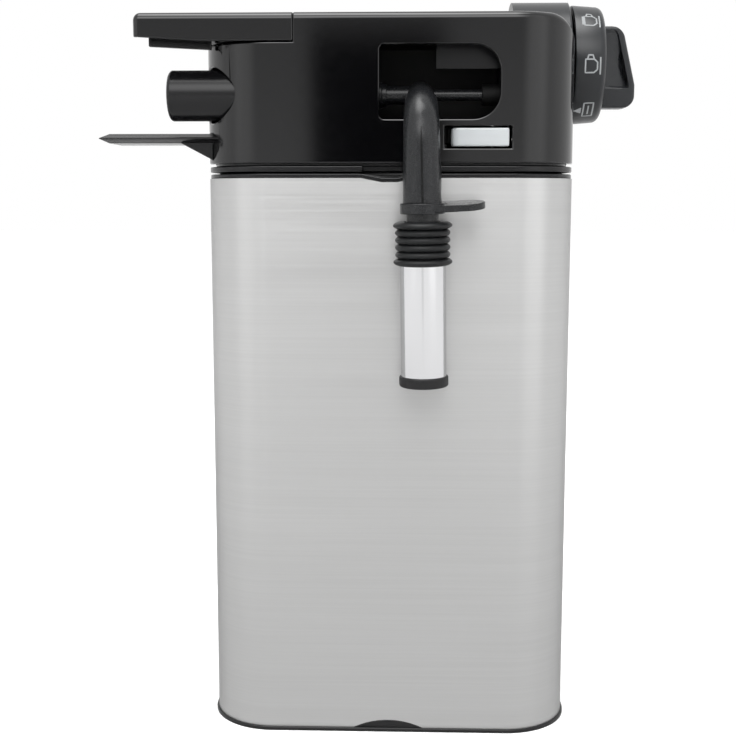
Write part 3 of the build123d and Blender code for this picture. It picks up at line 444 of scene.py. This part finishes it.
def grip_profile():
    """Bellows of rounded rings, the first and the last wider than the others."""
    pitch = GRIP_LENGTH / GRIP_RINGS
    outline = []
    for ring in range(GRIP_RINGS):
        crest = GRIP_END_R if ring in (0, GRIP_RINGS - 1) else GRIP_RING_R
        for step in range(GRIP_STEPS):
            turn = step / GRIP_STEPS
            swell = math.sin(math.pi * turn) ** GRIP_FULLNESS
            outline.append(((ring + turn) * pitch, GRIP_GROOVE_R + (crest - GRIP_GROOVE_R) * swell))
    outline[0] = (0.0, GRIP_GROOVE_R + GRIP_TOP_LAND)
    outline.append((GRIP_LENGTH, GRIP_GROOVE_R + GRIP_FOOT_LAND))
    bore = SLEEVE_OUT_R - GRIP_SQUEEZE
    return outline + [(GRIP_LENGTH, bore), (GRIP_LIP, bore), (GRIP_LIP, GRIP_LIP_R), (0.0, GRIP_LIP_R)]


def build_sleeve():
    """Rubber grip and chrome tube of the sliding sleeve."""
    grip_top = middle("ribbed_grip") - sleeve_down * (GRIP_LENGTH / 2 * MM)
    points, faces = lathe(grip_top, sleeve_down, grip_profile(), GRIP_TURNS)
    grip = make_piece("rubber_bellows_grip", points, faces, "sleeve", "grip_rubber", crease=50.0)
    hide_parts("ribbed_grip")

    sleeve_top = middle("chrome_sleeve") - sleeve_down * (SLEEVE_LENGTH / 2 * MM)
    outer = [(0.0, SLEEVE_OUT_R - SLEEVE_EDGE), (SLEEVE_EDGE, SLEEVE_OUT_R)]
    outer += [(SLEEVE_LENGTH - SLEEVE_EDGE, SLEEVE_OUT_R), (SLEEVE_LENGTH, SLEEVE_OUT_R - SLEEVE_EDGE)]
    inner = [(SLEEVE_LENGTH, SLEEVE_IN_R), (0.0, SLEEVE_IN_R)]
    points, faces = lathe(sleeve_top, sleeve_down, outer + inner, LATHE_TURNS)
    sleeve = make_piece("drawn_chrome_sleeve", points, faces, "sleeve", "sleeve_chrome")
    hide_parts("chrome_sleeve")


def build_parting_line():
    """Dark mould line down the front of the elbow, laid on its surface."""
    elbow = nodes["spout_elbow"]
    into_node = elbow.matrix_world.inverted()
    backwards = into_node.to_3x3() @ Vector((0.0, 1.0, 0.0))
    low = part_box("spout_elbow")[0]
    start_z = hub.z - PARTING_START * MM
    end_z = low.z + PARTING_FOOT * MM
    points = []
    for step in range(PARTING_STEPS + 1):
        share = step / PARTING_STEPS
        height = start_z + (end_z - start_z) * share
        x = hub.x + (PARTING_SIDE + PARTING_DRIFT * share) * MM
        half = PARTING_THIN + PARTING_WIDEN * min(1.0, share * 4)
        for side in (-half, half):
            place = Vector((x + side * MM, low.y - RAY_START * MM, height))
            spot = elbow.ray_cast(into_node @ place, backwards)[1]
            surface = elbow.matrix_world @ spot
            points.append(surface + Vector((0.0, -PARTING_PROUD * MM, 0.0)))
            points.append(surface + Vector((0.0, PARTING_SUNK * MM, 0.0)))
    faces = strip_faces(PARTING_STEPS + 1)
    make_piece("elbow_parting_line", points, faces, "spout", "spout_grey", "inner_black")


# ---- froth dial: rim, scooped finger grip and printed marks, in millimetres ----
DIAL_BACK = 61.2
DIAL_DEPTH = 10.4
DIAL_R = 20.0
DIAL_FRONT_R = 19.4
DIAL_EDGE = 2.4
DIAL_WALL_R = 17.6
DIAL_HUB_R = 5.5
DIAL_STEM_R = 3.0
DIAL_STEM_END = 3.0
DIAL_SKIN = 2.4
DIAL_BACK_EDGE = 0.4
PADDLE_HALF = 4.6
PADDLE_X0 = 71.0
PADDLE_TOP = 12.8
PADDLE_FOOT = -14.7
PADDLE_TOP_R = 3.6
PADDLE_FOOT_R = 4.2
PADDLE_EDGE = 1.1
PADDLE_OUT_X = 83.5
PADDLE_KNEE = -6.9
PADDLE_LEAN = 0.23
BAND_WIDTH = 2.5
SCOOP_X0 = 71.9
SCOOP_DEPTH = 2.4
SCOOP_FOOT = -8.0
SCOOP_TOP = 12.6
SCOOP_FOOT_RISE = 0.8
SCOOP_TOP_SHARE = 0.25
SCOOP_TOP_RISE = 16.0
SCOOP_HEAD_RISE = 1.5
SCOOP_WALL = 0.4
SLIT_MIDDLE = -0.9
SLIT_HALF = 5.4
SLIT_WIDTH = 1.3
SLIT_DEPTH = 1.7
SLIT_WALL = 0.25
SLIT_MARGIN = 0.2
SLIT_TAPER = 3


def ease(value):
    """Smooth step from 0 to 1 over the same range of the value."""
    value = max(0.0, min(1.0, value))
    return value * value * (3 - 2 * value)


def paddle_edge(height):
    """Outer X of the finger grip at a height above the dial's axis."""
    edge = PADDLE_OUT_X - max(0.0, height - PADDLE_KNEE) * PADDLE_LEAN
    for room, radius in ((PADDLE_TOP - height, PADDLE_TOP_R), (height - PADDLE_FOOT, PADDLE_FOOT_R)):
        if room < radius:
            edge += -radius + math.sqrt(max(0.0, radius ** 2 - (radius - room) ** 2))
    return edge


def scoop_at(x, height, band):
    """Depth of the finger scoop, deepest beside the outer band, with a slit along its lower half."""
    across = (x - SCOOP_X0) / (band - SCOOP_X0)
    if across <= 0:
        return 0.0
    open_z = ease((height - SCOOP_FOOT) / SCOOP_FOOT_RISE)
    open_z *= SCOOP_TOP_SHARE + (1 - SCOOP_TOP_SHARE) * ease((SCOOP_TOP - height) / SCOOP_TOP_RISE)
    open_z *= ease((PADDLE_TOP - PADDLE_EDGE - height) / SCOOP_HEAD_RISE)
    wall = 1.0 - ease((x - band) / SCOOP_WALL)
    depth = SCOOP_DEPTH * min(1.0, across) * open_z * wall
    lens = 1.0 - ((height - SLIT_MIDDLE) / SLIT_HALF) ** 2
    if lens > 0 and x > band - SLIT_WIDTH * lens - SLIT_MARGIN:
        slit = ease((x - band + SLIT_WIDTH * lens) / SLIT_WALL)
        depth += SLIT_DEPTH * slit * wall * min(1.0, lens * SLIT_TAPER)
    return depth


def paddle():
    """Grip that stands on the dial's face, scooped on both sides."""
    rows = 100
    inner_columns = 34
    wall_columns = 4
    band_columns = 12
    columns = inner_columns + wall_columns + band_columns
    sides = {-1: [], 1: []}
    for row in range(rows + 1):
        height = PADDLE_FOOT + (PADDLE_TOP - PADDLE_FOOT) * row / rows
        edge = paddle_edge(height)
        band = edge - BAND_WIDTH
        spread = [PADDLE_X0 + (band - PADDLE_X0) * (column / inner_columns)
                  for column in range(inner_columns)]
        spread += [band + SCOOP_WALL * column / wall_columns for column in range(wall_columns)]
        start = band + SCOOP_WALL
        spread += [start + (edge - start) * math.sin(math.pi / 2 * column / band_columns)
                   for column in range(band_columns + 1)]
        for x in spread:
            room = max(0.0, min(edge - x, PADDLE_TOP - height, height - PADDLE_FOOT))
            half = PADDLE_HALF
            if room < PADDLE_EDGE:
                half += -PADDLE_EDGE + math.sqrt(PADDLE_EDGE ** 2 - (PADDLE_EDGE - room) ** 2)
            half -= scoop_at(x, height, band)
            for side in (-1, 1):
                place = Vector((x * MM, dial_centre.y + side * half * MM, dial_centre.z + height * MM))
                sides[side].append(place)
    width = columns + 1
    count = len(sides[-1])
    faces = []
    for row in range(rows):
        for column in range(columns):
            corner = row * width + column
            quad = (corner, corner + 1, corner + width + 1, corner + width)
            faces.append(quad)
            faces.append(tuple(index + count for index in reversed(quad)))
    border = list(range(width))
    border += [row * width + columns for row in range(1, rows + 1)]
    border += [rows * width + column for column in range(columns - 1, -1, -1)]
    border += [row * width for row in range(rows - 1, 0, -1)]
    for index, first in enumerate(border):
        second = border[(index + 1) % len(border)]
        faces.append((first, first + count, second + count, second))
    return sides[-1] + sides[1], faces


def dial_rim():
    """Cup of the dial with a rounded front edge, and the hub that takes the stem."""
    front = DIAL_DEPTH
    inside = front - DIAL_SKIN
    stem_end = front - DIAL_STEM_END
    corner = DIAL_BACK_EDGE * 0.3
    profile = [(0.0, DIAL_R - DIAL_BACK_EDGE), (corner, DIAL_R - corner), (DIAL_BACK_EDGE, DIAL_R)]
    profile += arc((front - DIAL_EDGE, DIAL_FRONT_R - DIAL_EDGE), DIAL_EDGE, 86, 0, 8)
    profile += [(front, AXIS_R), (stem_end, AXIS_R), (stem_end, DIAL_STEM_R), (0.0, DIAL_STEM_R)]
    profile += [(0.0, DIAL_HUB_R), (inside, DIAL_HUB_R), (inside, DIAL_WALL_R), (0.0, DIAL_WALL_R)]
    back = Vector((DIAL_BACK * MM, dial_centre.y, dial_centre.z))
    return lathe(back, Vector((1.0, 0.0, 0.0)), profile, LATHE_TURNS)


MARK_PITCH = 48.0      # degrees round the dial
FIRST_MARK = -54.0
CUP_MARKS = 3
STROKE = 0.5
MARK_STEP = 0.6
MARK_LIFT = 0.04
ARROW_X = 62.0
CUP_X = 64.4


def on_rim(x, around, turn, lift):
    """Point on the dial's rim: X, arc length from the mark's middle, and the mark's angle."""
    share = (x - DIAL_BACK) / (DIAL_DEPTH - DIAL_EDGE)
    radius = DIAL_R + (DIAL_FRONT_R - DIAL_R) * share + lift
    angle = math.radians(turn) + around / DIAL_R
    return Vector((x * MM, dial_centre.y - radius * math.cos(angle) * MM,
                   dial_centre.z + radius * math.sin(angle) * MM))


def stroke(path, turn, closed=False, width=STROKE):
    """Printed line on the rim along a path of (x, around) points."""
    fine = []
    corners = path + path[:1] if closed else path
    for (x0, a0), (x1, a1) in zip(corners, corners[1:]):
        pieces = max(1, math.ceil(math.hypot(x1 - x0, a1 - a0) / MARK_STEP))
        fine += [(x0 + (x1 - x0) * step / pieces, a0 + (a1 - a0) * step / pieces) for step in range(pieces)]
    if not closed:
        fine.append(path[-1])
    count = len(fine)
    points = []
    for index, (x, around) in enumerate(fine):
        behind = fine[index - 1] if closed or index else fine[0]
        ahead = fine[(index + 1) % count] if closed or index < count - 1 else fine[-1]
        along = Vector((ahead[0] - behind[0], ahead[1] - behind[1])).normalized()
        for side in (-1, 1):
            off_x = x - along.y * side * width / 2
            off_a = around + along.x * side * width / 2
            points.append(on_rim(off_x, off_a, turn, MARK_LIFT))
            points.append(on_rim(off_x, off_a, turn, -MARK_LIFT))
    return points, strip_faces(count, closed)


def cup_mark(turn, foam):
    """Cup on its side, open towards the head, with a handle, a saucer line and some froth."""
    rim = CUP_X
    foot = CUP_X + 4.0
    body = [(rim, -2.2), (foot - 1.1, -2.2), (foot, -1.2), (foot, 1.2), (foot - 1.1, 2.2), (rim, 2.2)]
    shapes = [stroke(body, turn, True)]
    shapes.append(stroke([(rim + 0.7, 2.4), (rim + 1.0, 3.6), (rim + 2.4, 3.6), (rim + 2.8, 2.4)], turn))
    shapes.append(stroke([(foot + 1.0, -2.9), (foot + 1.0, 2.9)], turn))
    for layer in range(foam):
        reach = 2.0 - 0.45 * layer
        x = rim - 0.55 * (layer + 1)
        shapes.append(stroke([(x, -reach), (x, reach)], turn, width=0.56))
    return shapes


def docking_mark(turn):
    """Filled arrow towards the head, beside a plain frame."""
    shapes = []
    rows = 5
    for row in range(rows):
        x = ARROW_X + 0.5 * row
        reach = 0.25 + 1.1 * row / (rows - 1)
        shapes.append(stroke([(x, -reach), (x, reach)], turn, width=0.52))
    near = CUP_X + 0.6
    far = CUP_X + 3.8
    shapes.append(stroke([(near, -3.4), (far, -3.4), (far, 3.4), (near, 3.4)], turn, True))
    shapes.append(stroke([(near + 1.6, -2.2), (near + 1.6, 2.2)], turn))
    return shapes


def rinse_mark(turn):
    """Plain drop."""
    half = [(CUP_X, 0.0), (CUP_X + 1.8, -1.3), (CUP_X + 3.4, -1.6), (CUP_X + 4.5, -0.8)]
    outline = half + [(x, -around) for x, around in reversed(half[1:])]
    return [stroke(outline, turn, True)]


def build_dial():
    """The dial in one piece, and its printed marks in another."""
    points, faces = joined([dial_rim(), paddle()])
    knob = make_piece("scooped_dial", points, faces, "froth_dial", "dial_grey", crease=40.0)
    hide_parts("dial_knob")
    shapes = docking_mark(FIRST_MARK)
    for step in range(CUP_MARKS):
        shapes += cup_mark(FIRST_MARK + (step + 1) * MARK_PITCH, step)
    shapes += rinse_mark(FIRST_MARK + (CUP_MARKS + 1) * MARK_PITCH)
    points, faces = joined(shapes)
    make_piece("dial_marks", points, faces, "froth_dial", "button_silver", "mark_print")


# ---- return springs, in millimetres ----
SPRING_WIRE = 0.35
SPRING_TURNS = 3.2
SPRING_MEAN_R = 1.7
SPRING_STEPS = 110


def build_springs():
    """Coils round the latch pins in place of the plain sleeves."""
    low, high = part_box("latch_springs")
    radius = SPRING_MEAN_R * MM
    shapes = []
    for pivot in ("release_front_press", "release_rear_press"):
        centre = Vector(joints[pivot]["pos_m"])
        path = []
        for step in range(SPRING_STEPS + 1):
            share = step / SPRING_STEPS
            angle = 2 * math.pi * SPRING_TURNS * share
            rise = low.z + SPRING_WIRE * MM + (high.z - low.z - 2 * SPRING_WIRE * MM) * share
            x = centre.x + radius * math.cos(angle)
            y = centre.y + radius * math.sin(angle)
            path.append(Vector((x, y, rise)))
        shapes.append(round_bar(path, SPRING_WIRE))
    points, faces = joined(shapes)
    coils = make_piece("latch_coils", points, faces, "head", "small_steel", crease=60.0)
    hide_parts("latch_springs")


build_sleeve()
build_parting_line()
build_dial()
build_springs()


# ---- camera, light and floor, in metres and radians ----
CAMERA_SENSOR = 36.0    # this and the lens in millimetres
CAMERA_LENS = 59.96
CAMERA_PLACE = (0.00674, -0.43719, 0.17793)
CAMERA_DOWN = 0.1380
CAMERA_LEFT = 0.0343

FLOOR_SIZE = 12.0
FLOOR_GREY = 0.97
FLOOR_REACH = (0.4, 0.9)
FLOOR_GLOW = 0.16
SHEEN_DROP = 0.0005
SHEEN_GREY = 0.70
SHEEN_REACH = (0.1, 0.9)

# name, place, target, width and height, radiance
SOFTBOXES = (
    ("key_right", (0.75, -0.75, 0.6), (0.0, 0.0, 0.3), (1.2, 1.7), 0.6),
    ("fill_left", (-0.8, -0.75, 0.6), (0.0, 0.0, 0.3), (1.1, 1.7), 0.4),
    ("top_soft", (-0.06, -0.16, 1.0), (0.0, 0.0, 0.2), (0.9, 0.8), 6.0),
    ("top_front", (-0.06, -0.95, 0.85), (0.0, 0.0, 0.2), (1.5, 0.95), 3.5),
)
SOFTBOX_CORE = 0.25

# the flag's sheet, and where its cloth fades in from each side
FLAG_Y = -0.9
FLAG_X = (-0.2, 0.1)
FLAG_Z = (-0.3, 0.7)
FLAG_LEFT = (-0.102, -0.086)
FLAG_RIGHT = (0.062, 0.022)
FLAG_FOOT = (0.10, 0.21)
FLAG_HEAD = (0.385, 0.315)
FLAG_LOW_SHARE = 0.2

# directions, as parts of a unit vector, between which the surroundings darken
WORLD_FRONT = (-0.45, -0.95)
WORLD_RAISED = (-0.1, 0.25)
WORLD_DIP = 0.42


def aim_camera():
    """Camera in front of the long side with the spout, tilted a little down."""
    camera_data = bpy.data.cameras.new("view")
    camera = bpy.data.objects.new("view", camera_data)
    bpy.context.scene.collection.objects.link(camera)
    camera_data.sensor_width = CAMERA_SENSOR
    camera_data.lens = CAMERA_LENS
    camera.location = CAMERA_PLACE
    camera.rotation_euler = (math.pi / 2 - CAMERA_DOWN, 0.0, CAMERA_LEFT)
    bpy.context.scene.camera = camera


def stage_mesh(name, points, faces, material):
    """Mesh of the studio, which isn't part of the carafe."""
    mesh = bpy.data.meshes.new(name)
    mesh.from_pydata(points, [], faces)
    mesh.materials.append(material)
    thing = bpy.data.objects.new(name, mesh)
    bpy.context.scene.collection.objects.link(thing)
    return thing


def floor_material(name, near, far, reach, glow):
    """Matt floor whose grey runs from near to far over a reach, with a faint glow of its own."""
    material, tree, shader = new_material(name, (far, far, far), 0.9)
    coords = tree.nodes.new("ShaderNodeTexCoord")
    distance = tree.nodes.new("ShaderNodeVectorMath")
    distance.operation = "LENGTH"
    tree.links.new(coords.outputs["Object"], distance.inputs[0])
    tree.links.new(add_colours(tree, distance.outputs["Value"], (near, near, near), (far, far, far), *reach),
                   shader.inputs["Base Color"])
    shader.inputs["Emission Color"].default_value = (1.0, 1.0, 1.0, 1.0)
    shader.inputs["Emission Strength"].default_value = glow
    return material


def fade(tree, value, start, end):
    """Smooth step of a coordinate from 0 at start to 1 at end."""
    step = tree.nodes.new("ShaderNodeMapRange")
    step.interpolation_type = "SMOOTHSTEP"
    step.inputs["From Min"].default_value = start
    step.inputs["From Max"].default_value = end
    tree.links.new(value, step.inputs["Value"])
    return step.outputs["Result"]


def multiplied(tree, first, second):
    """Product of two values."""
    product = tree.nodes.new("ShaderNodeMath")
    product.operation = "MULTIPLY"
    tree.links.new(first, product.inputs[0])
    tree.links.new(second, product.inputs[1])
    return product.outputs[0]


def flag_material():
    """Black cloth whose edges fade out, so that its reflection in the head has soft edges."""
    material = bpy.data.materials.new("soft_flag")
    material.use_nodes = True
    tree = material.node_tree
    tree.nodes.clear()
    output = tree.nodes.new("ShaderNodeOutputMaterial")
    mix = tree.nodes.new("ShaderNodeMixShader")
    clear = tree.nodes.new("ShaderNodeBsdfTransparent")
    dark = tree.nodes.new("ShaderNodeBsdfDiffuse")
    dark.inputs["Color"].default_value = (0.0, 0.0, 0.0, 1.0)
    coords = tree.nodes.new("ShaderNodeTexCoord")
    split = tree.nodes.new("ShaderNodeSeparateXYZ")
    tree.links.new(coords.outputs["Object"], split.inputs["Vector"])
    place_x = split.outputs["X"]
    place_z = split.outputs["Z"]
    across = multiplied(tree, fade(tree, place_x, *FLAG_LEFT), fade(tree, place_x, *FLAG_RIGHT))
    upright = multiplied(tree, fade(tree, place_z, *FLAG_FOOT), fade(tree, place_z, *FLAG_HEAD))
    lifted = tree.nodes.new("ShaderNodeMath")
    lifted.operation = "MAXIMUM"
    lifted.inputs[1].default_value = FLAG_LOW_SHARE
    tree.links.new(upright, lifted.inputs[0])
    tree.links.new(multiplied(tree, across, lifted.outputs[0]), mix.inputs["Fac"])
    tree.links.new(clear.outputs[0], mix.inputs[1])
    tree.links.new(dark.outputs[0], mix.inputs[2])
    tree.links.new(mix.outputs[0], output.inputs["Surface"])
    return material


def softbox_material(name, size, radiance):
    """Light cloth, brightest in the middle, that fades out towards its edges."""
    material = bpy.data.materials.new(name)
    material.use_nodes = True
    tree = material.node_tree
    tree.nodes.clear()
    output = tree.nodes.new("ShaderNodeOutputMaterial")
    glow = tree.nodes.new("ShaderNodeEmission")
    clear = tree.nodes.new("ShaderNodeBsdfTransparent")
    total = tree.nodes.new("ShaderNodeAddShader")
    coords = tree.nodes.new("ShaderNodeTexCoord")
    split = tree.nodes.new("ShaderNodeSeparateXYZ")
    tree.links.new(coords.outputs["Object"], split.inputs["Vector"])
    level = None
    for axis, span in zip("XY", size):
        for sign in (-1, 1):
            edge = fade(tree, split.outputs[axis], sign * span / 2, sign * span * SOFTBOX_CORE / 2)
            level = multiplied(tree, level, edge) if level else edge
    power = tree.nodes.new("ShaderNodeMath")
    power.operation = "MULTIPLY"
    power.inputs[1].default_value = radiance
    tree.links.new(level, power.inputs[0])
    tree.links.new(power.outputs[0], glow.inputs["Strength"])
    tree.links.new(glow.outputs[0], total.inputs[0])
    tree.links.new(clear.outputs[0], total.inputs[1])
    tree.links.new(total.outputs[0], output.inputs["Surface"])
    return material


def level_corners(width, depth, height=0.0):
    """Corners of a level rectangle about the Z axis."""
    x = width / 2
    y = depth / 2
    return [(-x, -y, height), (x, -y, height), (x, y, height), (-x, y, height)]


def softbox(name, place, target, size, radiance):
    """Glowing cloth that faces its target and can't be seen itself."""
    cloth = softbox_material(name + "_cloth", size, radiance)
    box = stage_mesh(name, level_corners(*size), [(0, 1, 2, 3)], cloth)
    box.location = place
    box.rotation_euler = (Vector(target) - Vector(place)).to_track_quat("-Z", "Y").to_euler()
    box.visible_camera = False
    box.visible_shadow = False


def hidden_except_glossy(thing):
    """Shows a thing in reflections only."""
    thing.visible_camera = False
    thing.visible_diffuse = False
    thing.visible_shadow = False


def build_world():
    """White surroundings, a little darker above and behind the camera."""
    world = bpy.data.worlds.new("studio")
    bpy.context.scene.world = world
    world.use_nodes = True
    tree = world.node_tree
    coords = tree.nodes.new("ShaderNodeTexCoord")
    split = tree.nodes.new("ShaderNodeSeparateXYZ")
    tree.links.new(coords.outputs["Generated"], split.inputs["Vector"])
    front = fade(tree, split.outputs["Y"], *WORLD_FRONT)
    raised = fade(tree, split.outputs["Z"], *WORLD_RAISED)
    share = tree.nodes.new("ShaderNodeMath")
    share.operation = "MULTIPLY_ADD"
    share.inputs[1].default_value = -WORLD_DIP
    share.inputs[2].default_value = 1.0
    tree.links.new(multiplied(tree, front, raised), share.inputs[0])
    tree.links.new(share.outputs[0], tree.nodes["Background"].inputs["Strength"])
    tree.nodes["Background"].inputs["Color"].default_value = (1.0, 1.0, 1.0, 1.0)


def build_studio():
    """Floor, the duller floor that only reflections show, softboxes and the dark flag."""
    build_world()
    floor_look = floor_material("studio_floor", FLOOR_GREY, FLOOR_GREY, FLOOR_REACH, FLOOR_GLOW)
    floor = stage_mesh("floor", level_corners(FLOOR_SIZE, FLOOR_SIZE), [(0, 1, 2, 3)], floor_look)
    floor.visible_glossy = False
    sheen_look = floor_material("studio_floor_sheen", SHEEN_GREY, FLOOR_GREY, SHEEN_REACH, 0.0)
    sheen = stage_mesh("floor_sheen", level_corners(FLOOR_SIZE, FLOOR_SIZE, -SHEEN_DROP), [(0, 1, 2, 3)],
                       sheen_look)
    hidden_except_glossy(sheen)
    for light in SOFTBOXES:
        softbox(*light)
    (left, right), (foot, head) = FLAG_X, FLAG_Z
    corners = [(left, FLAG_Y, foot), (right, FLAG_Y, foot), (right, FLAG_Y, head), (left, FLAG_Y, head)]
    flag = stage_mesh("dark_flag", corners, [(0, 1, 2, 3)], flag_material())
    hidden_except_glossy(flag)
    bpy.context.scene.view_settings.view_transform = "Standard"


aim_camera()
build_studio()

# ---- edges of the CAD nodes: rounding in millimetres, 0 for even shading alone ----
EDGE_WIDTHS = {
    "head_cover": 0.4, "docking_plate": 0.4, "docking_tongue": 0.3, "docking_rail": 0.3,
    "steam_connector": 0.35, "base_pan": 0.3, "collar": 0.3, "head_chassis": 0.3,
    "spout_flange": 0.2, "button_cap_front": 0.5, "button_cap_rear": 0.5,
    "outer_shell": 0.0, "spout_elbow": 0.0, "dial_boss": 0.2, "spout_bay": 0.2,
    "bay_baffle": 0.2, "spout_bush": 0.2,
}
SHADING_SHARP = 32.0    # degrees
SHADING_WELD = 0.002    # millimetres
shading = joined_shading(SHADING_WELD * MM, math.radians(SHADING_SHARP))
for node_name, width in EDGE_WIDTHS.items():
    soften(nodes[node_name], shading, width * MM)
